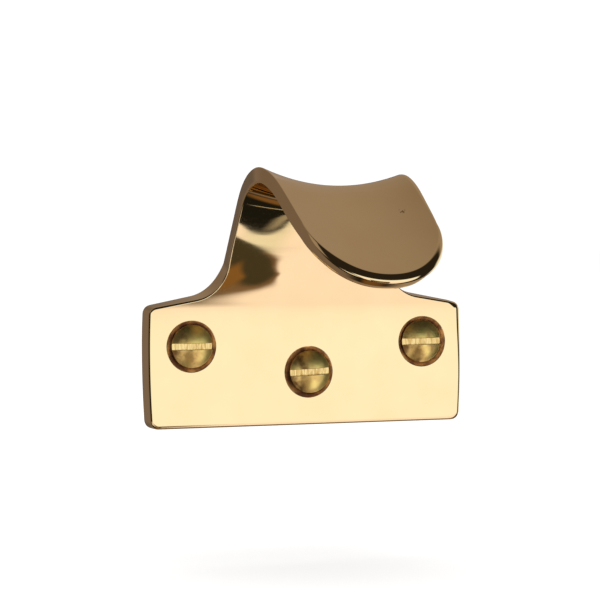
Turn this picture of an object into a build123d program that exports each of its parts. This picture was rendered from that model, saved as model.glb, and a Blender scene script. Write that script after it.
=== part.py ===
from build123d import *
import os
from math import cos, radians, sin

# Hook sash lift: a cast brass plate whose neck leans forward, curls over a dished crest and
# runs down into a round-ended finger tongue, with three raised-head countersunk wood screws.
#
# Frame: +Z is up, the front faces -Y and the back of the plate lies in the plane Y = 0.
# The origin is the middle of the back face.  Lengths are millimetres, angles are degrees.

os.makedirs("parts", exist_ok=True)

# ---- Plate ----
plate_height = 19.4
plate_thickness = 4.3
plate_width_bottom = 53.2
plate_width_middle = 54.0
plate_width_top = 53.7
corner_radius = 0.5

# ---- Shoulders and neck, as seen from the front ----
shoulder_foot = (14.9, 2.15)  # half-width, and height above the plate, where the slopes meet
shoulder_radius = 6.4
neck_top_height = 18.0        # above the plate, where the neck reaches the tongue's width
neck_top_radius = 4.0
tongue_half_width = 11.1

# ---- Side profile: the middle of the sheet, as (length, forward turn) runs ----
profile_runs = [
    (5.4, 25.2),   # foot, curving forward out of the plate
    (12.0, 0.0),   # straight leaning neck
    (9.5, 78.2),   # tight bend over the crest
    (6.6, 21.0),   # easier bend into the tongue
    (21.6, 0.0),   # straight tongue
]

# ---- Sheet thickness and dish, as (distance along the profile, size) ----
sheet_thickness = [(0, 4.3), (4, 3.1), (8, 2.25), (12, 2.1), (25, 2.45), (39, 2.9), (47, 3.0), (56, 2.9)]
sheet_dish = [(0, 0.0), (3, 0.0), (6, 0.5), (10, 1.15), (17, 1.75), (26, 2.05), (36, 1.95), (56, 1.25)]
section_places = [0, 1, 2, 3, 4.5, 6, 9, 13, 17, 19, 21, 23, 25, 27, 30, 34, 39, 44, 50, 56]

# ---- Tongue end ----
tip_length = 12.8
tongue_reach = 34.0           # outline carried this far back from the tip, past the crest

# ---- Screw holes ----
side_screw_offset = 19.86
side_screw_height = 3.4
centre_screw_height = -1.13
hole_radius = 2.15
countersink_radius = 4.15

# ---- Screws: No. 6 slotted raised-head countersunk wood screws ----
head_radius = 3.45
head_dome_height = 1.0
head_land = 0.15
head_set_back = 0.15          # head rim below the plate's face
shank_radius = 1.75
shank_end = 4.6               # plain shank ends this far behind the plate
thread_core_radius = 1.2
thread_crest_radius = 1.68
thread_pitch = 1.4
thread_taper_length = 4.2
screw_length = 19.0
slot_width = 1.0
slot_depth = 1.25

# name, across, up, sideways play taken up in the hole, slot angle
screws = [
    ("screw_left", -side_screw_offset, side_screw_height, 0.2, 0.0),
    ("screw_centre", 0.0, centre_screw_height, 0.3, 2.5),
    ("screw_right", side_screw_offset, side_screw_height, 0.0, 0.5),
]

bottom = -plate_height / 2
top = plate_height / 2
front = -plate_thickness


def blend(table, place):
    """Value of a (distance, size) table at one place, joined by straight lines."""
    for (a, low), (b, high) in zip(table, table[1:]):
        if place <= b:
            return low + (high - low) * (place - a) / (b - a)
    return table[-1][1]


def profile_point(place):
    """Y, Z and forward lean of the sheet's middle at a distance along the profile."""
    y = -plate_thickness / 2
    z = top
    lean = 0.0
    for length, turn in profile_runs:
        step = min(place, length)
        if turn:
            radius = length / radians(turn)
            end = lean + turn * step / length
            y -= radius * (cos(radians(lean)) - cos(radians(end)))
            z += radius * (sin(radians(end)) - sin(radians(lean)))
            lean = end
        else:
            y -= step * sin(radians(lean))
            z += step * cos(radians(lean))
        place -= step
        if place <= 0:
            break
    if place > 0:
        y -= place * sin(radians(lean))
        z += place * cos(radians(lean))
    return y, z, lean


def section_half_width(place):
    """Half-width of the untrimmed sheet: wide at the shoulders, narrower up the neck."""
    return 16.0 + 12.0 * max(0.0, 1.0 - place / 8.0) ** 2


crest_place = profile_runs[0][0] + profile_runs[1][0]
crest_place += profile_runs[2][0] * (90 - profile_runs[0][1]) / profile_runs[2][1]
crest_y, crest_z, _ = profile_point(crest_place)
tip_place = sum(length for length, turn in profile_runs)
tip_y, tip_z, tip_lean = profile_point(tip_place)

# ---- Sheet: a loft of dished cross-sections along the side profile, not yet trimmed ----
with BuildPart() as sheet:
    for place in section_places:
        y, z, lean = profile_point(place)
        half_thickness = blend(sheet_thickness, place) / 2
        dish = blend(sheet_dish, place)
        reach = section_half_width(place)
        rise = dish * ((reach / tongue_half_width) ** 2 - 1)
        tangent = (0, -sin(radians(lean)), cos(radians(lean)))
        with BuildSketch(Plane(origin=(0, y, z), x_dir=(1, 0, 0), z_dir=tangent)):
            with BuildLine():
                lower_left = (-reach, rise - half_thickness)
                lower_right = (reach, rise - half_thickness)
                upper_left = (-reach, rise + half_thickness)
                upper_right = (reach, rise + half_thickness)
                if dish:
                    ThreePointArc(lower_left, (0, -dish - half_thickness), lower_right)
                    Line(lower_right, upper_right)
                    ThreePointArc(upper_right, (0, -dish + half_thickness), upper_left)
                    Line(upper_left, lower_left)
                else:
                    Polyline(lower_left, lower_right, upper_right, upper_left, lower_left)
            make_face()
    loft()

# ---- Neck: the sheet behind the crest, trimmed to the outline seen from the front ----
with BuildPart() as neck:
    with BuildSketch(Plane.XZ):
        with BuildLine():
            right_side = [
                (plate_width_top / 2, top),
                (shoulder_foot[0], top + shoulder_foot[1]),
                (tongue_half_width, top + neck_top_height),
                (tongue_half_width, top + 30.0),
            ]
            left_side = [(-x, z) for x, z in reversed(right_side)]
            Polyline(*right_side, *left_side, close=True)
        make_face()
        feet = vertices().filter_by_position(Axis.Y, top + 1.0, top + 10.0)
        fillet(feet, shoulder_radius)
        bends = vertices().filter_by_position(Axis.Y, top + 15.0, top + 25.0)
        fillet(bends, neck_top_radius)
    extrude(amount=-crest_y)
    add(sheet.part, mode=Mode.INTERSECT)

# ---- Tongue: the sheet in front of the crest, trimmed square to its own slope ----
slope_normal = (0, cos(radians(tip_lean)), sin(radians(tip_lean)))
with BuildPart() as tongue_outline:
    with BuildSketch(Plane(origin=(0, tip_y, tip_z), x_dir=(1, 0, 0), z_dir=slope_normal)):
        with BuildLine():
            EllipticalCenterArc(
                (0, tip_length), tongue_half_width, tip_length, start_angle=180, arc_size=180
            )
            Polyline(
                (tongue_half_width, tip_length),
                (tongue_half_width, tongue_reach),
                (-tongue_half_width, tongue_reach),
                (-tongue_half_width, tip_length),
            )
        make_face()
    extrude(amount=10.0, both=True)

with BuildPart() as tongue:
    add(sheet.part)
    split(bisect_by=Plane.XZ.offset(-crest_y), keep=Keep.TOP)
    add(tongue_outline.part, mode=Mode.INTERSECT)

# ---- Cast body: plate, neck and tongue in one piece, with three countersunk holes ----
with BuildPart() as lift_body:
    with BuildSketch(Plane.XZ):
        with BuildLine():
            low_right = (plate_width_bottom / 2, bottom)
            low_left = (-plate_width_bottom / 2, bottom)
            high_right = (plate_width_top / 2, top)
            high_left = (-plate_width_top / 2, top)
            Line(low_left, low_right)
            ThreePointArc(low_right, (plate_width_middle / 2, 2.5), high_right)
            Line(high_right, high_left)
            ThreePointArc(high_left, (-plate_width_middle / 2, 2.5), low_left)
        make_face()
        fillet(vertices().group_by(Axis.Y)[0], corner_radius)
    extrude(amount=plate_thickness)
    add(neck.part)
    add(tongue.part)
    spots = [(across, up) for label, across, up, play, angle in screws]
    with Locations(Plane.XZ.offset(plate_thickness)):
        with Locations(*spots):
            CounterSinkHole(hole_radius, countersink_radius, counter_sink_angle=90)

print("solids", len(lift_body.part.solids()), "volume", lift_body.part.volume, lift_body.part.is_valid)
lift_body.part.label = "lift_body"
export_step(lift_body.part, "parts/lift_body.step")

# ---- Screws: head, shank, ridged thread and point turned in one profile, then slotted ----
for label, across, up, play, angle in screws:
    centre = across + play
    head_rim = front + head_set_back
    head_top = head_rim - head_dome_height
    cone_start = head_rim + head_land
    cone_end = cone_start + head_radius - shank_radius
    point = head_rim + screw_length
    with BuildPart() as screw:
        with BuildSketch(Plane.XY.offset(up)):
            with BuildLine():
                sag = head_dome_height / 4
                middle = (centre + head_radius / 2, head_top + sag)
                ThreePointArc((centre, head_top), middle, (centre + head_radius, head_rim))
                outline = [
                    (centre + head_radius, head_rim),
                    (centre + head_radius, cone_start),
                    (centre + shank_radius, cone_end),
                    (centre + shank_radius, shank_end),
                    (centre + thread_core_radius, shank_end + 0.3),
                ]
                ridge = shank_end + 0.5
                while ridge + thread_pitch < point - 0.6:
                    middle_of_ridge = ridge + thread_pitch / 2
                    taper = min(1.0, (point - middle_of_ridge) / thread_taper_length)
                    core = thread_core_radius * min(1.0, (point - ridge) / thread_taper_length)
                    crest = thread_crest_radius * taper
                    outline.append((centre + core, ridge))
                    outline.append((centre + crest, middle_of_ridge - 0.08))
                    outline.append((centre + crest, middle_of_ridge + 0.08))
                    ridge += thread_pitch * 0.82
                    core = thread_core_radius * min(1.0, (point - ridge) / thread_taper_length)
                    outline.append((centre + core, ridge))
                    ridge += thread_pitch * 0.18
                outline.append((centre, point))
                Polyline(*outline)
                Line((centre, point), (centre, head_top))
            make_face()
        revolve(axis=Axis((centre, 0, up), (0, 1, 0)))
        above_head = Plane(origin=(centre, head_top - 1.0, up), x_dir=(1, 0, 0), z_dir=(0, -1, 0))
        with BuildSketch(above_head.rotated((0, 0, angle))):
            Rectangle(4 * head_radius, slot_width)
        extrude(amount=-(slot_depth + 1.0), mode=Mode.SUBTRACT)
    screw.part.label = label
    export_step(screw.part, f"parts/{label}.step")
    print(label, screw.part.volume, screw.part.is_valid)
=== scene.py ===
import math

import bmesh
import bpy
import numpy as np
from mathutils import Matrix, Vector
from mathutils.geometry import delaunay_2d_cdt


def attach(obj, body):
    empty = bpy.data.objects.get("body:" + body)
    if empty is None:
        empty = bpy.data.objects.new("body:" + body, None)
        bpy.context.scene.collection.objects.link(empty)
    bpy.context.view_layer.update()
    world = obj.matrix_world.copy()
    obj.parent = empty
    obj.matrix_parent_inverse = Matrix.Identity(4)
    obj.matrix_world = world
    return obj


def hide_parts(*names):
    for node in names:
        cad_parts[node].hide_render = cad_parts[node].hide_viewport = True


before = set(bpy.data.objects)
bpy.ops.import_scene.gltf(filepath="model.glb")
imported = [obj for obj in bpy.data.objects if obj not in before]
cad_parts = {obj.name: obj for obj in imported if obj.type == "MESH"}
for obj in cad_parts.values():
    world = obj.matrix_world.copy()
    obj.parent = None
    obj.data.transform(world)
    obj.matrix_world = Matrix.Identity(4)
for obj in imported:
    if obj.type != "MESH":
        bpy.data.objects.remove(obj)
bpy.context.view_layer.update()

MM = 0.001

# ---------------------------------------------------------------------------
# Sizes in millimetres that the CAD model has too
# ---------------------------------------------------------------------------
PLATE_TOP = 9.7
PLATE_BOTTOM = -9.7
PLATE_THICKNESS = 4.3
WIDTH_BOTTOM, WIDTH_MIDDLE, WIDTH_TOP = 53.2, 54.0, 53.7
WIDEST_HEIGHT = 2.5
SHOULDER_FOOT = (14.9, 2.15)
SHOULDER_RADIUS = 6.4
NECK_TOP_HEIGHT = 18.0
NECK_TOP_RADIUS = 4.0
TONGUE_HALF_WIDTH = 11.1
PROFILE_RUNS = [(5.4, 25.2), (12.0, 0.0), (9.5, 78.2), (6.6, 21.0), (21.6, 0.0)]
SHEET_LENGTH = sum(length for length, turn in PROFILE_RUNS)
TIP_LENGTH = 12.8
THICKNESS = [(0, 4.3), (4, 3.1), (8, 2.25), (12, 2.1), (25, 2.45), (39, 2.9), (47, 3.0), (56, 2.9)]
DISH = [(0, 0.0), (3, 0.0), (6, 0.5), (10, 1.15), (17, 1.75), (26, 2.05), (36, 1.95), (56, 1.25)]
HOLES = [(-19.86, 3.4), (0.0, -1.13), (19.86, 3.4)]
HOLE_RADIUS, SINK_RADIUS = 2.15, 4.15

# ---------------------------------------------------------------------------
# Shape values of this visual model only: the CAD model is plainer, or differs, here
# ---------------------------------------------------------------------------
PLATE_CORNER = 1.35                # millimetres, where the CAD has 0.5
TIP_FULLNESS = 2.15                # 2 is the CAD's plain half-ellipse
NECK_BOW = 4.0                     # degrees that the neck's middle leans more
ROOT_SWELL = 3.0                   # degrees that the plate's top leans forward
CREST_TILT = 0.034                 # fall of the crest from left to right
TIP_UNDERCUT = math.radians(15)    # lean of the tip's lower end face

# Edge radii in millimetres: the least, then what each place adds. A pair is (first, second),
# for the part of the turn near the face and the part near the side.
FRONT_EDGE = 0.26
FRONT_EDGE_PLATE = 0.2
FRONT_EDGE_RIGHT = 0.75
FRONT_EDGE_BOTTOM = 0.12
FRONT_EDGE_TIP = (0.9, 0.5)
BACK_EDGE = (0.22, 0.25)
BACK_EDGE_PLATE = 0.55
BACK_EDGE_TIP = (1.5, 0.3)
BACK_EDGE_EAR = (1.1, 0.6)
SINK_EDGE = 0.14                   # radius of the countersink's rim
SINK_EDGE_OUT = 0.41               # how far the rim starts outside, as a share of that radius

# ---------------------------------------------------------------------------
# The cast sheet: a map from (across, along, height) to a point in space
# ---------------------------------------------------------------------------
STEP = 0.05
STATIONS = np.arange(-22.0, 62.0, STEP)


def smoothed(values, reach):
    """Moving average over +-reach millimetres, run twice, so joins have no kink."""
    n = int(round(reach / STEP))
    kernel = np.ones(2 * n + 1) / (2 * n + 1)
    for _ in range(2):
        padded = np.concatenate([np.full(n, values[0]), values, np.full(n, values[-1])])
        values = np.convolve(padded, kernel, "valid")
    return values


def from_table(table, reach):
    places, sizes = zip(*table)
    return smoothed(np.interp(STATIONS, places, sizes), reach)


def lean_angles():
    ends, leans = [0.0], [0.0]
    for length, turn in PROFILE_RUNS:
        ends.append(ends[-1] + length)
        leans.append(leans[-1] + turn)
    plain = smoothed(np.interp(STATIONS, ends, leans), 1.0)
    bow = NECK_BOW * ease(STATIONS, 8.5, 13.5) * (1 - ease(STATIONS, 16.0, 19.5))
    bow -= 0.22 * NECK_BOW * ease(STATIONS, 18.0, 20.0) * (1 - ease(STATIONS, 24.0, 27.0))
    swell = ROOT_SWELL * ease(STATIONS, -7.0, 0.5) * (1 - ease(STATIONS, 0.5, 5.0))
    return np.radians(plain + bow + swell)


def ease(x, low, high):
    t = np.clip((x - low) / (high - low), 0, 1)
    return t * t * (3 - 2 * t)


LEAN = lean_angles()
THICK = from_table(THICKNESS, 1.5)
DIP = from_table(DISH, 1.5)
Y_MID = -PLATE_THICKNESS / 2 - np.cumsum(np.sin(LEAN)) * STEP
Z_MID = np.cumsum(np.cos(LEAN)) * STEP
Z_MID += PLATE_TOP - np.interp(0.0, STATIONS, Z_MID)


def at(table, s):
    return np.interp(s, STATIONS, table)


def sheet_point(x, s, height):
    """Point x across and s along the sheet, height from its middle: + is the back and the top."""
    lean = at(LEAN, s)
    h = height - at(DIP, s) * (1.0 - (x / TONGUE_HALF_WIDTH) ** 2)
    h = h - CREST_TILT * x * ease(s, 10, 20) * (1 - ease(s, 30, 46))
    return np.stack([x, at(Y_MID, s) + h * np.cos(lean), at(Z_MID, s) + h * np.sin(lean)], -1)


def unit(v):
    return v / np.linalg.norm(v, axis=-1, keepdims=True)


def sheet_frame(x, s, height):
    """Unit across, along and outward directions at a point of the sheet."""
    d = 0.04
    across = unit(sheet_point(x + d, s, height) - sheet_point(x - d, s, height))
    along = unit(sheet_point(x, s + d, height) - sheet_point(x, s - d, height))
    out = unit(np.cross(along, across))
    return across, along, out


# ---------------------------------------------------------------------------
# The outline of the casting, in (across, along)
# ---------------------------------------------------------------------------
def arc_through(a, b, c, n):
    """n points on the circle from a through b to c."""
    (ax, ay), (bx, by), (cx, cy) = a, b, c
    d = 2 * (ax * (by - cy) + bx * (cy - ay) + cx * (ay - by))
    a2, b2, c2 = ax * ax + ay * ay, bx * bx + by * by, cx * cx + cy * cy
    ox = (a2 * (by - cy) + b2 * (cy - ay) + c2 * (ay - by)) / d
    oy = (a2 * (cx - bx) + b2 * (ax - cx) + c2 * (bx - ax)) / d
    r = math.hypot(ax - ox, ay - oy)
    t0, t1 = math.atan2(ay - oy, ax - ox), math.atan2(cy - oy, cx - ox)
    return [(ox + r * math.cos(t), oy + r * math.sin(t)) for t in np.linspace(t0, t1, n)]


def rounded(points, radii):
    """A polyline with its inner corners replaced by arcs."""
    made = [np.array(points[0], float)]
    for before, corner, after, r in zip(points, points[1:], points[2:], radii):
        before, corner, after = (np.array(p, float) for p in (before, corner, after))
        if r == 0:
            made.append(corner)
            continue
        u, v = unit(before - corner), unit(after - corner)
        half = math.acos(np.clip(np.dot(u, v), -1, 1)) / 2
        cut = r / math.tan(half)
        centre = corner + unit(u + v) * r / math.sin(half)
        start, end = corner + u * cut, corner + v * cut
        t0, t1 = (math.atan2(*(p - centre)[::-1]) for p in (start, end))
        turn = (t1 - t0 + math.pi) % (2 * math.pi) - math.pi
        n = max(4, int(abs(turn) * r / 0.3))
        for t in np.linspace(0, turn, n):
            made.append(centre + r * np.array([math.cos(t0 + t), math.sin(t0 + t)]))
    made.append(np.array(points[-1], float))
    return np.array(made)


def respaced(line, spacing):
    """The polyline with points put in, so that no gap is longer than spacing."""
    made = [line[0]]
    for a, b in zip(line, line[1:]):
        n = max(1, int(math.ceil(np.linalg.norm(b - a) / spacing)))
        made += [a + (b - a) * k / n for k in range(1, n + 1)]
    return np.array(made)


def casting_outline():
    """Closed outline, anticlockwise in (across, along), starting at the bottom middle."""
    side = arc_through(
        (WIDTH_BOTTOM / 2, PLATE_BOTTOM),
        (WIDTH_MIDDLE / 2, WIDEST_HEIGHT),
        (WIDTH_TOP / 2, PLATE_TOP),
        12,
    )
    points = [(0.0, PLATE_BOTTOM)] + side
    radii = [PLATE_CORNER] + [0.0] * (len(side) - 2) + [PLATE_CORNER]
    points += [
        (SHOULDER_FOOT[0], PLATE_TOP + SHOULDER_FOOT[1]),
        (TONGUE_HALF_WIDTH, PLATE_TOP + NECK_TOP_HEIGHT),
        (TONGUE_HALF_WIDTH, PLATE_TOP + NECK_TOP_HEIGHT + 2.0),
    ]
    radii += [SHOULDER_RADIUS, NECK_TOP_RADIUS]
    front_view = rounded(points, radii)
    rising = STATIONS < 20.0
    along = np.interp(front_view[:, 1], Z_MID[rising], STATIONS[rising])
    half = np.stack([front_view[:, 0], along], -1)
    half = half[half[:, 1] < 18.5]
    t = np.linspace(0.0, 1.0, 60) * math.pi / 2
    tip = np.stack(
        [
            TONGUE_HALF_WIDTH * np.cos(t) ** (2 / TIP_FULLNESS),
            SHEET_LENGTH - TIP_LENGTH + TIP_LENGTH * np.sin(t) ** (2 / TIP_FULLNESS),
        ],
        -1,
    )
    half = respaced(np.concatenate([half, tip]), 0.42)
    left = half[1:-1][::-1] * (-1.0, 1.0)
    return np.concatenate([half, left])


def outward(line):
    """Unit outward normal at each point of a closed anticlockwise polyline."""
    t = unit(np.roll(line, -1, 0) - line) + unit(line - np.roll(line, 1, 0))
    t = unit(t)
    return np.stack([t[:, 1], -t[:, 0]], -1)


def inside(points, line):
    """Which points lie inside the closed polyline."""
    x, y = points[:, None, 0], points[:, None, 1]
    x0, y0 = line[None, :, 0], line[None, :, 1]
    x1, y1 = np.roll(x0, -1, 1), np.roll(y0, -1, 1)
    crosses = (y0 > y) != (y1 > y)
    where = x0 + (y - y0) / np.where(y1 == y0, 1e-9, y1 - y0) * (x1 - x0)
    return (crosses & (x < where)).sum(1) % 2 == 1


# ---------------------------------------------------------------------------
# Mesh gathering
# ---------------------------------------------------------------------------
class Shell:
    """Points with their true surface normals, and faces between them."""

    def __init__(self):
        self.points = []
        self.normals = []
        self.faces = []
        self.count = 0

    def add(self, points, normals):
        self.points.append(points)
        self.normals.append(normals)
        ids = np.arange(self.count, self.count + len(points))
        self.count += len(points)
        return ids

    def band(self, a, b):
        """Quads between two closed rings with the same number of points."""
        for i in range(len(a)):
            j = (i + 1) % len(a)
            self.faces.append([a[i], a[j], b[j], b[i]])

    def rings(self, rows):
        for a, b in zip(rows, rows[1:]):
            self.band(a, b)

    def mesh(self, name):
        points = np.concatenate(self.points)
        normals = unit(np.concatenate(self.normals))
        faces = []
        for face in self.faces:
            p = points[face]
            out = np.cross(p[1] - p[0], p[2] - p[0]) + np.cross(p[2] - p[0], p[-1] - p[0])
            if np.dot(out, normals[face].sum(0)) < 0:
                face = list(face)[::-1]
            faces.append([int(i) for i in face])
        mesh = bpy.data.meshes.new(name)
        mesh.from_pydata((points * MM).tolist(), [], faces)
        mesh.shade_smooth()
        mesh.normals_split_custom_set_from_vertices(normals.tolist())
        mesh.update()
        return mesh


def triangles(outer, circles, spacing):
    """Triangles over a region with round holes: (points, triangles). Boundary points come first."""
    loops = [outer] + circles
    fixed = np.concatenate(loops)
    holes = [(c.mean(0), np.hypot(*(c[0] - c.mean(0))) * 0.998) for c in circles]
    low, high = outer.min(0), outer.max(0)
    xs = np.arange(low[0], high[0], spacing)
    ys = np.arange(low[1], high[1], spacing)
    xx, yy = np.meshgrid(xs, ys)
    xx[::2] += spacing / 2
    free = np.stack([xx.ravel(), yy.ravel()], -1)
    free = free[inside(free, outer)]
    for centre, reach in holes:
        free = free[np.linalg.norm(free - centre, axis=1) > reach]
    gap = np.min(np.linalg.norm(free[:, None] - fixed[None], axis=-1), axis=1)
    free = free[gap > 0.6 * spacing]
    edges, start = [], 0
    for loop in loops:
        n = len(loop)
        edges += [(start + i, start + (i + 1) % n) for i in range(n)]
        start += n
    every = np.concatenate([fixed, free])
    coords = [Vector((float(x), float(y))) for x, y in every]
    verts, _, faces, origin, _, _ = delaunay_2d_cdt(coords, edges, [], 1, 1e-6)
    first = [o[0] for o in origin]
    kept = []
    for face in faces:
        ids = [first[i] for i in face]
        middle = every[ids].mean(0)
        if all(np.hypot(*(middle - centre)) > reach for centre, reach in holes):
            kept.append(ids)
    return every, kept


# ---------------------------------------------------------------------------
# The cast body
# ---------------------------------------------------------------------------
EDGE_ANGLES = np.radians([0, 9, 18, 27, 36, 45, 52, 58, 66, 74, 82, 90])
EDGE_CHANGE = math.radians(52)


def edge_profile(first, second):
    """Inset and depth of an edge that turns 90 degrees, first radius then second, at each angle."""
    fine = np.linspace(0, math.pi / 2, 361)
    radius = np.where(fine[None] < EDGE_CHANGE, first[:, None], second[:, None])
    d = fine[1] - fine[0]
    forward = np.cumsum(radius * np.cos(fine), 1) * d
    down = np.cumsum(radius * np.sin(fine), 1) * d
    spots = np.round(EDGE_ANGLES / d).astype(int)
    return forward[:, -1:] - forward[:, spots], down[:, spots]


def front_edge_radii(p):
    """Radii of the edge between the front (or tongue underside) and the side."""
    tip = ease(p[:, 1], 34, 52)
    right = ease(p[:, 0], 24.5, 26.0) * (0.4 + 0.6 * ease(p[:, 1], -13.0, -1.0))
    plate = 1 - ease(p[:, 1], 0, 3)
    bottom = 1 - ease(p[:, 1], -19.4, -18.0)
    first = FRONT_EDGE + FRONT_EDGE_PLATE * plate + FRONT_EDGE_RIGHT * right
    first = first + FRONT_EDGE_BOTTOM * bottom * (1 - right)
    return first + FRONT_EDGE_TIP[0] * tip, first + FRONT_EDGE_TIP[1] * tip


def back_edge_radii(p):
    """Radii of the edge between the back (or tongue top) and the side."""
    plate = 1 - ease(p[:, 1], 0, 6)
    tip = ease(p[:, 1], 40, 53)
    ear = ease(p[:, 0], 2, 10) * ease(p[:, 1], 14, 19) * (1 - ease(p[:, 1], 24, 46))
    first, second = (
        least + BACK_EDGE_PLATE * plate + more_tip * tip + more_ear * ear
        for least, more_tip, more_ear in zip(BACK_EDGE, BACK_EDGE_TIP, BACK_EDGE_EAR)
    )
    return first, second


def face_side(shell, line, circles, side, radii):
    """One face and its rounded edge. Returns the ring of points where the flat side begins."""
    normal_2d = outward(line)
    first, second = radii(line)
    lean_in = (TIP_UNDERCUT * ease(line[:, 1], 36, 50))[:, None]
    if side < 0:
        line = line - normal_2d * at(THICK, line[:, 1])[:, None] * np.tan(lean_in)
    inset, depth = edge_profile(first, second)
    rows = []
    for k, angle in enumerate(EDGE_ANGLES):
        flat = line - normal_2d * inset[:, k : k + 1]
        x, s = flat[:, 0], flat[:, 1]
        height = side * (at(THICK, s) / 2 - depth[:, k])
        across, along, out = sheet_frame(x, s, height)
        edge = unit(normal_2d[:, :1] * across + normal_2d[:, 1:] * along)
        edge = edge * np.cos(lean_in) - out * np.sin(lean_in)
        normal = side * out * math.cos(angle) + edge * math.sin(angle)
        rows.append((flat, sheet_point(x, s, height), normal))
    every, faces = triangles(rows[0][0], circles, 0.55)
    x, s = every[:, 0], every[:, 1]
    height = side * at(THICK, s) / 2
    _, _, out = sheet_frame(x, s, height)
    ids = shell.add(sheet_point(x, s, height), side * out)
    shell.faces += [[ids[i] for i in face] for face in faces]
    ring = ids[: len(line)]
    for _, points, normals in rows[1:]:
        new = shell.add(points, normals)
        shell.band(ring, new)
        ring = new
    starts = np.cumsum([len(line)] + [len(c) for c in circles])
    return ring, [ids[a:b] for a, b in zip(starts, starts[1:])]


def circle(centre, radius, n=96):
    t = np.arange(n) * 2 * math.pi / n
    return np.stack([centre[0] + radius * np.cos(t), centre[1] + radius * np.sin(t)], -1)


def hole_ring(shell, centre, radius, y, tilt):
    """Ring of a hole's wall. tilt 0 faces the axis, and + turns towards the front, in degrees."""
    ring = circle((0, 0), 1.0)
    t = math.radians(tilt)
    x = centre[0] + radius * ring[:, 0]
    z = centre[1] + radius * ring[:, 1]
    points = np.stack([x, np.full(len(ring), y), z], -1)
    facing_x = -ring[:, 0] * math.cos(t)
    facing_z = -ring[:, 1] * math.cos(t)
    normals = np.stack([facing_x, np.full(len(ring), -math.sin(t)), facing_z], -1)
    return shell.add(points, normals)


def countersunk_hole(shell, centre, front_ring, back_ring):
    """Wall of a hole: a soft rim, the cone, the bore and a small break at the back."""
    rows = [front_ring]
    for turned in (15, 30, 45):
        t = math.radians(turned)
        radius = SINK_RADIUS + SINK_EDGE * (SINK_EDGE_OUT - math.sin(t))
        y = -PLATE_THICKNESS + SINK_EDGE * (1 - math.cos(t))
        rows.append(hole_ring(shell, centre, radius, y, 90 - turned))
    low = SINK_RADIUS - HOLE_RADIUS
    rows.append(hole_ring(shell, centre, HOLE_RADIUS + 0.06, -PLATE_THICKNESS + low - 0.06, 45))
    rows.append(hole_ring(shell, centre, HOLE_RADIUS, -PLATE_THICKNESS + low + 0.04, 0))
    rows.append(hole_ring(shell, centre, HOLE_RADIUS, -0.15, 0))
    rows.append(hole_ring(shell, centre, HOLE_RADIUS + 0.05, -0.04, -45))
    rows.append(back_ring)
    shell.rings(rows)


def cast_body():
    shell = Shell()
    line = casting_outline()
    in_sheet = [(x, z - PLATE_TOP) for x, z in HOLES]
    front_holes = [circle(c, SINK_RADIUS + SINK_EDGE * SINK_EDGE_OUT) for c in in_sheet]
    back_holes = [circle(c, HOLE_RADIUS + 0.15) for c in in_sheet]
    front, front_rims = face_side(shell, line, front_holes, -1, front_edge_radii)
    back, back_rims = face_side(shell, line, back_holes, 1, back_edge_radii)
    shell.band(front, back)
    for centre, a, b in zip(HOLES, front_rims, back_rims):
        countersunk_hole(shell, centre, a, b)
    mesh = shell.mesh("lift_body_casting")
    for face in mesh.polygons:
        middle = face.center / MM
        for x, z in HOLES:
            near = math.hypot(middle.x - x, middle.z - z) < SINK_RADIUS - 0.02
            if near and face.normal.y < 0.3 and -PLATE_THICKNESS + 0.05 < middle.y < -0.05:
                face.material_index = 1
    return mesh


# ---------------------------------------------------------------------------
# Screws: a turned head, shank and spiral thread, with the slot cut out
# ---------------------------------------------------------------------------
HEAD_RADIUS = 3.45
HEAD_RIM = -4.15
HEAD_TOP = -5.15
HEAD_LAND = 0.15
SHANK_RADIUS = 1.75
SHANK_END = 4.6
CORE_RADIUS, CREST_RADIUS = 1.2, 1.68
PITCH = 1.4
POINT = 14.85
TAPER = 4.2
SLOT_WIDTH, SLOT_FLOOR = 1.0, -3.9
SLOT_CHAMFER = 0.09
TURNS = 72


def dome(r):
    ball = (HEAD_RADIUS**2 + (HEAD_RIM - HEAD_TOP) ** 2) / (2 * (HEAD_RIM - HEAD_TOP))
    return HEAD_TOP + ball - np.sqrt(ball**2 - np.minimum(r, 0.99 * ball) ** 2)


def screw_rows():
    """Rows of (radius round the circle, depth) from the head's middle to the point."""
    around = np.arange(TURNS) * 2 * math.pi / TURNS
    rows = [(np.full(TURNS, r), dome(r)) for r in np.linspace(0.25, HEAD_RADIUS - 0.1, 14)]
    neck = HEAD_RIM + HEAD_LAND + HEAD_RADIUS - SHANK_RADIUS
    for r, y in [
        (HEAD_RADIUS - 0.03, HEAD_RIM - 0.03),
        (HEAD_RADIUS, HEAD_RIM + 0.04),
        (HEAD_RADIUS, HEAD_RIM + HEAD_LAND - 0.03),
        (HEAD_RADIUS - 0.03, HEAD_RIM + HEAD_LAND + 0.03),
        (SHANK_RADIUS + 0.1, neck - 0.1),
        (SHANK_RADIUS, neck + 0.1),
        (SHANK_RADIUS, (neck + SHANK_END) / 2),
        (SHANK_RADIUS, SHANK_END - 0.1),
    ]:
        rows.append((np.full(TURNS, r), y))
    for y in np.arange(SHANK_END, POINT - 0.1, PITCH / 14):
        taper = min(1.0, (POINT - y) / TAPER)
        phase = (y / PITCH - around / (2 * math.pi)) % 1.0
        ridge = np.maximum(0.0, 1 - np.abs(2 * phase - 1) / 0.5)
        run_in = float(ease(y, SHANK_END, SHANK_END + 0.9))
        core = SHANK_RADIUS + (CORE_RADIUS - SHANK_RADIUS) * run_in
        crest = max(core, CREST_RADIUS)
        rows.append(((core + (crest - core) * ridge * run_in) * taper, y))
    return around, rows


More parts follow.
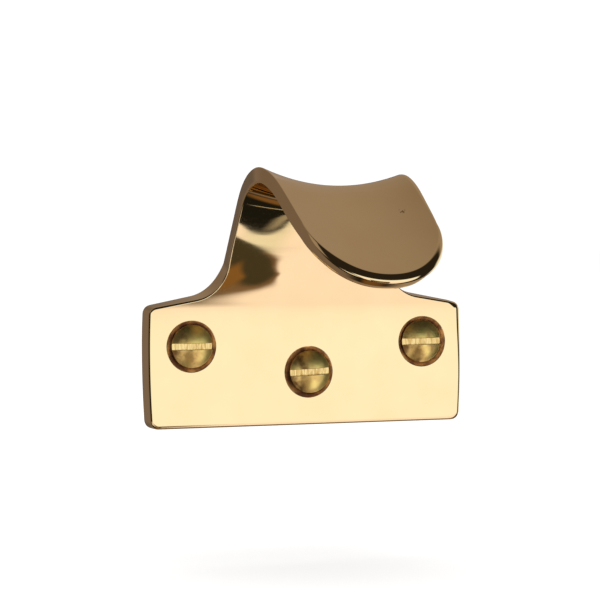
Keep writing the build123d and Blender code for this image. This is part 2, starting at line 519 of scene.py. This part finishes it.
def turned_mesh(centre):
    around, rows = screw_rows()
    cx, cz = centre
    verts = [(cx, HEAD_TOP, cz)]
    for radius, y in rows:
        verts += [(cx + r * math.cos(t), y, cz + r * math.sin(t)) for r, t in zip(radius, around)]
    verts.append((cx, POINT, cz))
    last = len(verts) - 1
    faces = []
    for i in range(TURNS):
        j = (i + 1) % TURNS
        faces.append((0, 1 + i, 1 + j))
        for k in range(len(rows) - 1):
            a, b = 1 + k * TURNS, 1 + (k + 1) * TURNS
            faces.append((a + i, b + i, b + j, a + j))
        end = 1 + (len(rows) - 1) * TURNS
        faces.append((end + i, last, end + j))
    return closed_mesh("turned", verts, faces)


def slot_cutter(centre, angle):
    """A bar with flared upper edges that follow the dome."""
    half = SLOT_WIDTH / 2
    verts, faces = [], []
    turn = math.radians(angle)
    stations = np.linspace(-HEAD_RADIUS - 0.5, HEAD_RADIUS + 0.5, 41)
    for u in stations:
        top = float(dome(abs(u)))
        lip = min(top + SLOT_CHAMFER, SLOT_FLOOR - 0.05)
        flare = half + SLOT_CHAMFER + 0.4
        for w, y in [
            (-flare, top - 0.4),
            (-half, lip),
            (-half, SLOT_FLOOR),
            (half, SLOT_FLOOR),
            (half, lip),
            (flare, top - 0.4),
        ]:
            x = centre[0] + u * math.cos(turn) - w * math.sin(turn)
            z = centre[1] + u * math.sin(turn) + w * math.cos(turn)
            verts.append((x, y, z))
    for k in range(len(stations) - 1):
        for i in range(6):
            j = (i + 1) % 6
            a, b = 6 * k, 6 * (k + 1)
            faces.append((a + i, a + j, b + j, b + i))
    faces.append(tuple(range(6))[::-1])
    faces.append(tuple(range(len(verts) - 6, len(verts))))
    return closed_mesh("cutter", verts, faces)


def closed_mesh(name, verts, faces):
    mesh = bpy.data.meshes.new(name)
    mesh.from_pydata([tuple(v * MM for v in p) for p in verts], [], faces)
    work = bmesh.new()
    work.from_mesh(mesh)
    bmesh.ops.recalc_face_normals(work, faces=work.faces)
    work.to_mesh(mesh)
    work.free()
    return mesh


def screw_mesh(name, centre, angle):
    """The turned screw less its slot. Faces of the slot get the second material."""
    solid = bpy.data.objects.new("turned", turned_mesh(centre))
    cutter = bpy.data.objects.new("cutter", slot_cutter(centre, angle))
    for obj in (solid, cutter):
        bpy.context.scene.collection.objects.link(obj)
    cut = solid.modifiers.new("slot", "BOOLEAN")
    cut.operation = "DIFFERENCE"
    cut.solver = "EXACT"
    cut.object = cutter
    graph = bpy.context.evaluated_depsgraph_get()
    mesh = bpy.data.meshes.new_from_object(solid.evaluated_get(graph))
    mesh.name = name
    for obj in (solid, cutter):
        bpy.data.objects.remove(obj)
    turn = math.radians(angle)
    for face in mesh.polygons:
        face.use_smooth = True
        middle = face.center / MM
        off = (middle.z - centre[1]) * math.cos(turn) - (middle.x - centre[0]) * math.sin(turn)
        reach = math.hypot(middle.x - centre[0], middle.z - centre[1])
        deep = middle.y > float(dome(reach)) + 0.01 and middle.y < SLOT_FLOOR + 0.01
        if abs(off) < SLOT_WIDTH / 2 + SLOT_CHAMFER and deep and reach < HEAD_RADIUS - 0.02:
            face.material_index = 1
    mesh.set_sharp_from_angle(angle=math.radians(32))
    return mesh


# ---------------------------------------------------------------------------
# Materials
# ---------------------------------------------------------------------------
def new_material(name):
    mat = bpy.data.materials.new(name)
    mat.use_nodes = True
    tree = mat.node_tree
    tree.nodes.clear()
    out = tree.nodes.new("ShaderNodeOutputMaterial")
    shader = tree.nodes.new("ShaderNodeBsdfPrincipled")
    tree.links.new(shader.outputs[0], out.inputs[0])
    return mat, tree, shader


def noise(tree, scale, detail=3.0, stretch=(1.0, 1.0, 1.0), distortion=0.0):
    """Noise in the piece's own coordinates, scale in lumps per metre."""
    where = tree.nodes.new("ShaderNodeTexCoord")
    mapping = tree.nodes.new("ShaderNodeMapping")
    mapping.inputs["Scale"].default_value = stretch
    made = tree.nodes.new("ShaderNodeTexNoise")
    made.inputs["Scale"].default_value = scale
    made.inputs["Detail"].default_value = detail
    made.inputs["Distortion"].default_value = distortion
    tree.links.new(where.outputs["Object"], mapping.inputs[0])
    tree.links.new(mapping.outputs[0], made.inputs["Vector"])
    return made.outputs["Fac"]


def ranged(tree, source, from_low, from_high, to_low, to_high):
    node = tree.nodes.new("ShaderNodeMapRange")
    for name, value in (
        ("From Min", from_low),
        ("From Max", from_high),
        ("To Min", to_low),
        ("To Max", to_high),
    ):
        node.inputs[name].default_value = value
    tree.links.new(source, node.inputs["Value"])
    return node.outputs[0]


def ramp(tree, source, stops):
    node = tree.nodes.new("ShaderNodeValToRGB")
    points = node.color_ramp.elements
    for k, (place, colour) in enumerate(stops):
        stop = points[k] if k < 2 else points.new(place)
        stop.position = place
        stop.color = colour + (1.0,)
    tree.links.new(source, node.inputs["Fac"])
    return node.outputs["Color"]


def bumped(tree, shader, layers):
    """Stack bump layers of (height, strength, depth in metres) onto the shader's normal."""
    last = None
    for height, strength, depth in layers:
        bump = tree.nodes.new("ShaderNodeBump")
        bump.inputs["Strength"].default_value = strength
        bump.inputs["Distance"].default_value = depth
        tree.links.new(height, bump.inputs["Height"])
        if last is not None:
            tree.links.new(last, bump.inputs["Normal"])
        last = bump.outputs[0]
    tree.links.new(last, shader.inputs["Normal"])


class Value:
    """A number in a node tree that can be added, multiplied and compared."""

    def __init__(self, tree, source):
        self.tree = tree
        self.source = source

    def made(self, kind, *others):
        node = self.tree.nodes.new("ShaderNodeMath")
        node.operation = kind
        for socket, value in zip(node.inputs, (self,) + others):
            if isinstance(value, Value):
                value.into(socket)
            else:
                socket.default_value = value
        return Value(self.tree, node.outputs[0])

    def into(self, socket):
        self.tree.links.new(self.source, socket)

    def __add__(self, other):
        return self.made("ADD", other)

    def __sub__(self, other):
        return self.made("SUBTRACT", other)

    def __mul__(self, other):
        return self.made("MULTIPLY", other)

    def rise(self, start, end):
        """0 before start, 1 after end, smooth between. It falls where end is below start."""
        node = self.tree.nodes.new("ShaderNodeMapRange")
        node.interpolation_type = "SMOOTHSTEP"
        low, high, flip = (start, end, False) if start < end else (end, start, True)
        node.inputs["From Min"].default_value = low
        node.inputs["From Max"].default_value = high
        node.inputs["To Min"].default_value = 1.0 if flip else 0.0
        node.inputs["To Max"].default_value = 0.0 if flip else 1.0
        self.into(node.inputs["Value"])
        return Value(self.tree, node.outputs[0])


def painted(tree, below, colour, amount):
    """colour laid over below by amount."""
    node = tree.nodes.new("ShaderNodeMix")
    node.data_type = "RGBA"
    amount.into(node.inputs["Factor"])
    for socket, value in ((node.inputs[6], below), (node.inputs[7], colour)):
        if isinstance(value, tuple):
            socket.default_value = value + (1.0,)
        else:
            tree.links.new(value, socket)
    return node.outputs[2]


PIT_PLACE = (7.2, -26.55, 24.65)
PIT_LENGTH = 0.75
PIT_STAIN = (0.30, 0.13, 0.06)


def casting_pit(tree):
    """1 inside the small ragged pit on top of the tongue, 0 elsewhere."""
    own = tree.nodes.new("ShaderNodeTexCoord")
    away = tree.nodes.new("ShaderNodeVectorMath")
    away.operation = "SUBTRACT"
    away.inputs[1].default_value = tuple(v * MM for v in PIT_PLACE)
    tree.links.new(own.outputs["Object"], away.inputs[0])
    length = tree.nodes.new("ShaderNodeVectorMath")
    length.operation = "LENGTH"
    tree.links.new(away.outputs[0], length.inputs[0])
    ragged = Value(tree, noise(tree, 2300.0, 3.0))
    reach = Value(tree, length.outputs["Value"]) * (1 / (PIT_LENGTH * MM))
    return (ragged - reach * 0.22).rise(0.40, 0.48) * reach.rise(1.0, 0.85)


def polished_brass():
    """Buffed and lacquered casting: faint brush lines, soft waves and slight colour drift."""
    mat, tree, shader = new_material("polished_brass")
    shader.inputs["Metallic"].default_value = 1.0
    drift = noise(tree, 140.0, 2.0)
    colour = ramp(tree, drift, [(0.3, (0.885, 0.705, 0.385)), (0.7, (0.905, 0.735, 0.415))])
    brush = noise(tree, 900.0, 4.0, (0.12, 1.0, 1.6))
    tree.links.new(ranged(tree, brush, 0.3, 0.7, 0.03, 0.055), shader.inputs["Roughness"])
    waves = noise(tree, 170.0, 1.0)
    grain = noise(tree, 5200.0, 3.0)
    pit = casting_pit(tree)
    stained = painted(tree, colour, PIT_STAIN, pit * 0.75)
    tree.links.new(stained, shader.inputs["Base Color"])
    layers = [(waves, 0.06, 0.00006), (brush, 0.03, 0.000006), (grain, 0.02, 0.000004)]
    bumped(tree, shader, layers + [((pit * -1.0).source, 0.5, 0.00005)])
    return mat


def sink_brass():
    """Drilled, unpolished and tarnished wall of the countersunk holes."""
    mat, tree, shader = new_material("sink_brass")
    shader.inputs["Metallic"].default_value = 0.55
    shader.inputs["Specular IOR Level"].default_value = 0.2
    stain = noise(tree, 480.0, 3.0)
    colour = ramp(tree, stain, [(0.4, (0.24, 0.10, 0.045)), (0.62, (0.74, 0.37, 0.12))])
    tree.links.new(colour, shader.inputs["Base Color"])
    rings = noise(tree, 2400.0, 2.0, (0.2, 2.0, 0.2))
    tree.links.new(ranged(tree, rings, 0.3, 0.7, 0.3, 0.45), shader.inputs["Roughness"])
    bumped(tree, shader, [(rings, 0.3, 0.00002)])
    return mat


def screw_brass():
    """Satin turned brass with tarnish in patches, and painted light that makes it lighter towards
    its right and top.
    """
    mat, tree, shader = new_material("screw_brass")
    shader.inputs["Metallic"].default_value = 1.0
    patches = noise(tree, 460.0, 4.0)
    own = tree.nodes.new("ShaderNodeTexCoord")
    split = tree.nodes.new("ShaderNodeSeparateXYZ")
    tree.links.new(own.outputs["Generated"], split.inputs[0])
    # Painted light: the colour is pushed lighter towards the screw's right and top, standing in for
    # the light that falls there; the noise patches are tarnish.
    rightward = Value(tree, split.outputs[0]) - 0.5
    upward = Value(tree, split.outputs[2]) - 0.5
    clean_and_lit = Value(tree, patches) * 0.6 + 0.2 + rightward * 0.2 + upward * 0.08
    colour = ramp(
        tree,
        clean_and_lit.source,
        [(0.36, (0.26, 0.15, 0.05)), (0.47, (0.82, 0.60, 0.2)), (0.58, (1.0, 0.84, 0.27))],
    )
    tree.links.new(colour, shader.inputs["Base Color"])
    tree.links.new(ranged(tree, patches, 0.3, 0.7, 0.42, 0.3), shader.inputs["Roughness"])
    pits = noise(tree, 2600.0, 5.0)
    bumped(tree, shader, [(patches, 0.35, 0.00006), (pits, 0.3, 0.00002)])
    return mat


def slot_brass():
    """Freshly sawn brass: bright, with saw lines across the slot."""
    mat, tree, shader = new_material("slot_brass")
    shader.inputs["Metallic"].default_value = 1.0
    lines = noise(tree, 1500.0, 3.0, (2.2, 0.4, 0.4))
    colour = ramp(tree, lines, [(0.35, (0.60, 0.38, 0.12)), (0.6, (0.84, 0.63, 0.28))])
    tree.links.new(colour, shader.inputs["Base Color"])
    tree.links.new(ranged(tree, lines, 0.3, 0.7, 0.2, 0.12), shader.inputs["Roughness"])
    bumped(tree, shader, [(lines, 0.3, 0.00002)])
    return mat


# ---------------------------------------------------------------------------
# Build the pieces
# ---------------------------------------------------------------------------
SCREWS = [
    # name, body, sideways play, slot angle
    ("screw_left", "left_screw", 0.2, 0.0),
    ("screw_centre", "centre_screw", 0.3, 2.5),
    ("screw_right", "right_screw", 0.0, 0.5),
]


def piece(name, mesh, body, node, slot, *materials):
    obj = bpy.data.objects.new(name, mesh)
    bpy.context.scene.collection.objects.link(obj)
    for mat in materials:
        mesh.materials.append(mat)
    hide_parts(node)
    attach(obj, body)
    return obj


body_metals = (polished_brass(), sink_brass())
piece("lift_body_casting", cast_body(), "lift", "lift_body", "polished_brass", *body_metals)
screw_metals = (screw_brass(), slot_brass())
for (name, body, play, angle), (hole_x, hole_z) in zip(SCREWS, HOLES):
    turned = screw_mesh(name + "_turned", (hole_x + play, hole_z), angle)
    piece(name + "_turned", turned, body, name, "screw_brass", *screw_metals)

# ---------------------------------------------------------------------------
# Camera
# ---------------------------------------------------------------------------
CAMERA_LENS = 156.0
CAMERA_SENSOR = 36.0
CAMERA_AZIMUTH = -20.369
CAMERA_ELEVATION = 1.912
CAMERA_ROLL = -0.293
CAMERA_DISTANCE = 412.18
CAMERA_TARGET = (0.0, -12.3, 8.3)
CAMERA_SLIDE = (4.146, -2.405)


def make_camera():
    a, e, roll = (math.radians(v) for v in (CAMERA_AZIMUTH, CAMERA_ELEVATION, CAMERA_ROLL))
    back = Vector((math.sin(a) * math.cos(e), -math.cos(a) * math.cos(e), math.sin(e)))
    right = Vector((math.cos(a), math.sin(a), 0))
    up = back.cross(right)
    tilted_right = right * math.cos(roll) + up * math.sin(roll)
    tilted_up = up * math.cos(roll) - right * math.sin(roll)
    place = Vector(CAMERA_TARGET) + back * CAMERA_DISTANCE
    place -= tilted_right * CAMERA_SLIDE[0] + tilted_up * CAMERA_SLIDE[1]
    data = bpy.data.cameras.new("camera")
    data.lens = CAMERA_LENS
    data.sensor_width = CAMERA_SENSOR
    data.clip_start, data.clip_end = 0.01, 20.0
    cam = bpy.data.objects.new("camera", data)
    turn = Matrix((tilted_right, tilted_up, back)).transposed()
    cam.matrix_world = Matrix.Translation(place * MM) @ turn.to_4x4()
    bpy.context.scene.collection.objects.link(cam)
    bpy.context.scene.camera = cam


make_camera()


# ---------------------------------------------------------------------------
# Studio: what the metal reflects, painted by compass direction on the world
# ---------------------------------------------------------------------------
DARK_ROOM = (0.022, 0.017, 0.013)
BACKDROP_LEFT = (0.19, 0.138, 0.115)
BACKDROP_RIGHT = (0.35, 0.272, 0.225)
BACKDROP_SEAM = (0.07, 0.05, 0.04)
SIDE_WINDOW = (0.92, 0.86, 0.84)
REAR_WINDOW = (0.95, 0.93, 0.92)
WINDOW = (1.13, 1.165, 1.2)
TABLE = (1.16, 1.01, 1.06)
TABLE_EDGE = (0.96, 0.91, 0.84)
STAND = (0.062, 0.049, 0.028)
STAND_WOOD = (0.24, 0.118, 0.035)
STAND_TOP = (0.16, 0.125, 0.10)
UNDER = (0.012, 0.011, 0.009)
UNDER_WARM = (0.2, 0.095, 0.03)
STAND_RIM = (0.21, 0.125, 0.07)
GLINT = (0.55, 0.45, 0.33)
WEDGE = (0.36, 0.31, 0.25)
TABLE_DROP = 2.9    # degrees from the stand's foot down to the table's near edge


# Across is degrees round from straight in front of the plate, + to the right. Above is degrees
# above the horizon. x, y and z are the direction's own parts, from -1 to 1, with y to the back.
# In rise(start, end) a patch is absent at start and full at end.


def curve(past, bend, level):
    """level where past is 0, then a parabola."""
    return past * past * bend + level


def room(tree, x, y):
    """The dark room, with a brown backdrop and its darker seam behind the object."""
    behind = painted(tree, BACKDROP_LEFT, BACKDROP_RIGHT, x.rise(-0.5, 0.5))
    seam = y.rise(0.86, 0.96) * x.rise(-0.3, -0.1)
    behind = painted(tree, behind, BACKDROP_SEAM, seam * 0.6)
    return painted(tree, DARK_ROOM, behind, y.rise(0.05, 0.22))


def side_lights(tree, colour, y, across, above):
    """A window behind on the right, a wall high on the left and a low window on the left."""
    rear = across.rise(84.0, 100.0) * across.rise(152.0, 140.0)
    rear = rear * above.rise(26.0, 12.0) * above.rise(-26.0, -12.0)
    colour = painted(tree, colour, REAR_WINDOW, rear)
    left_wall = across.rise(-60.0, -72.0) * above.rise(16.0, 30.0) * y.rise(0.2, 0.05)
    colour = painted(tree, colour, BACKDROP_RIGHT, left_wall)
    side = across.rise(-33.0, -38.0) * across.rise(-70.0, -56.0)
    side = side * above.rise(-10.0, -16.0) * above.rise(-44.0, -36.0)
    return painted(tree, colour, SIDE_WINDOW, side)


def below_the_table(tree, colour, y, across, above, over_table):
    """The dark under the table's near edge, with a thin glint and a pale wedge."""
    leftward = (across * -1.0 + 8.0).made("MAXIMUM", 0.0)
    over_glint = above - curve(leftward, 0.0062, -65.5)
    under = painted(tree, UNDER, UNDER_WARM, above.rise(-70.0, -80.0))
    glint = over_glint.rise(-0.9, -0.3) * over_glint.rise(0.9, 0.3) * across.rise(-34.0, -24.0)
    under = painted(tree, under, GLINT, glint)
    wedge = over_table.rise(-2.6, -2.1) * over_table.rise(-0.4, -0.8) * across.rise(-10.0, 0.0)
    under = painted(tree, under, WEDGE, wedge)
    return painted(tree, colour, under, above.rise(-40.0, -48.0) * y.rise(0.1, 0.0))


def window_and_table(tree, colour, across, above, over_table):
    """The bright window in front, and the lit table top below it."""
    lit = over_table.rise(-0.15, 0.25) * above.rise(14.0, 6.0)
    lit = lit * across.rise(58.0, 51.0) * across.rise(-34.0, -24.0)
    bench = painted(tree, WINDOW, TABLE, above.rise(-4.0, -13.0))
    edge = above.rise(-44.0, -54.0) * across.rise(26.0, 6.0)
    bench = painted(tree, bench, TABLE_EDGE, edge)
    return painted(tree, colour, bench, lit)


def dark_stand(tree, colour, across, above, over_foot):
    """The dark stand on the table: a brown rim, a near-black inside, wood and a paler top."""
    past_corner = (above + 13.0).made("MINIMUM", 0.0)
    inward = curve(past_corner, 0.0065, 19.4) - across
    below_top = across.rise(-14.0, -8.0) * 38.0 - 43.0 - above
    stand = over_foot.rise(-0.4, 0.5) * above.rise(-10.0, -15.0)
    stand = stand * inward.rise(-0.6, 1.2) * below_top.rise(0.0, 1.5) * across.rise(-28.0, -24.0)
    past_fringe = over_foot.rise(0.1, 1.4).made("MAXIMUM", across.rise(16.0, 4.0))
    deep = inward.rise(0.6, 3.6) * above.rise(-30.0, -44.0) * past_fringe
    inner = painted(tree, STAND_RIM, STAND, deep)
    wood = above.rise(-50.0, -45.0) * across.rise(19.0, 15.5) * across.rise(1.0, 8.0)
    inner = painted(tree, inner, STAND_WOOD, wood)
    inner = painted(tree, inner, STAND_TOP, above.rise(-26.0, -14.0))
    return painted(tree, colour, inner, stand)


def make_world():
    """Reflections see the painted studio. Every other ray sees plain white."""
    world = bpy.data.worlds.new("studio")
    bpy.context.scene.world = world
    world.use_nodes = True
    tree = world.node_tree
    tree.nodes.clear()
    out = tree.nodes.new("ShaderNodeOutputWorld")
    where = tree.nodes.new("ShaderNodeTexCoord")
    split = tree.nodes.new("ShaderNodeSeparateXYZ")
    tree.links.new(where.outputs["Generated"], split.inputs[0])
    x, y, z = (Value(tree, socket) for socket in split.outputs)
    degrees = 180 / math.pi
    across = x.made("ARCTAN2", y * -1.0) * degrees
    above = z.made("ARCSINE") * degrees

    from_right = (across * -1.0 + 31.0).made("MAXIMUM", 0.0)
    stand_foot = curve(from_right, 0.0067, -60.8)
    over_table = above - (stand_foot - TABLE_DROP)
    colour = room(tree, x, y)
    colour = side_lights(tree, colour, y, across, above)
    colour = below_the_table(tree, colour, y, across, above, over_table)
    colour = window_and_table(tree, colour, across, above, over_table)
    colour = dark_stand(tree, colour, across, above, above - stand_foot)

    reflected = tree.nodes.new("ShaderNodeBackground")
    tree.links.new(colour, reflected.inputs["Color"])
    plain = tree.nodes.new("ShaderNodeBackground")
    plain.inputs["Color"].default_value = (1, 1, 1, 1)
    plain.inputs["Strength"].default_value = 1.05
    ray = tree.nodes.new("ShaderNodeLightPath")
    choose = tree.nodes.new("ShaderNodeMixShader")
    tree.links.new(ray.outputs["Is Glossy Ray"], choose.inputs[0])
    tree.links.new(plain.outputs[0], choose.inputs[1])
    tree.links.new(reflected.outputs[0], choose.inputs[2])
    tree.links.new(choose.outputs[0], out.inputs[0])
    world.cycles.sampling_method = "NONE"


def make_floor():
    mesh = bpy.data.meshes.new("floor")
    reach, level = 3.0, -0.032
    signs = [(-1, -1), (1, -1), (1, 1), (-1, 1)]
    corners = [(x * reach, y * reach, level) for x, y in signs]
    mesh.from_pydata(corners, [], [(0, 1, 2, 3)])
    floor = bpy.data.objects.new("floor", mesh)
    mat, tree, shader = new_material("floor_white")
    shader.inputs["Base Color"].default_value = (0.96, 0.96, 0.96, 1)
    shader.inputs["Roughness"].default_value = 1.0
    shader.inputs["Specular IOR Level"].default_value = 0.0
    mesh.materials.append(mat)
    floor.visible_glossy = False
    bpy.context.scene.collection.objects.link(floor)


def make_lamp():
    """One large soft lamp overhead that whitens the floor."""
    data = bpy.data.lights.new("soft_lamp", "AREA")
    data.shape = "RECTANGLE"
    data.size, data.size_y = 1.6, 1.6
    data.energy = 6.0
    lamp = bpy.data.objects.new("soft_lamp", data)
    lamp.location = (0.2, -0.4, 1.4)
    lamp.visible_glossy = False
    bpy.context.scene.collection.objects.link(lamp)


make_world()
make_floor()
make_lamp()
bpy.context.scene.view_settings.view_transform = "Standard"
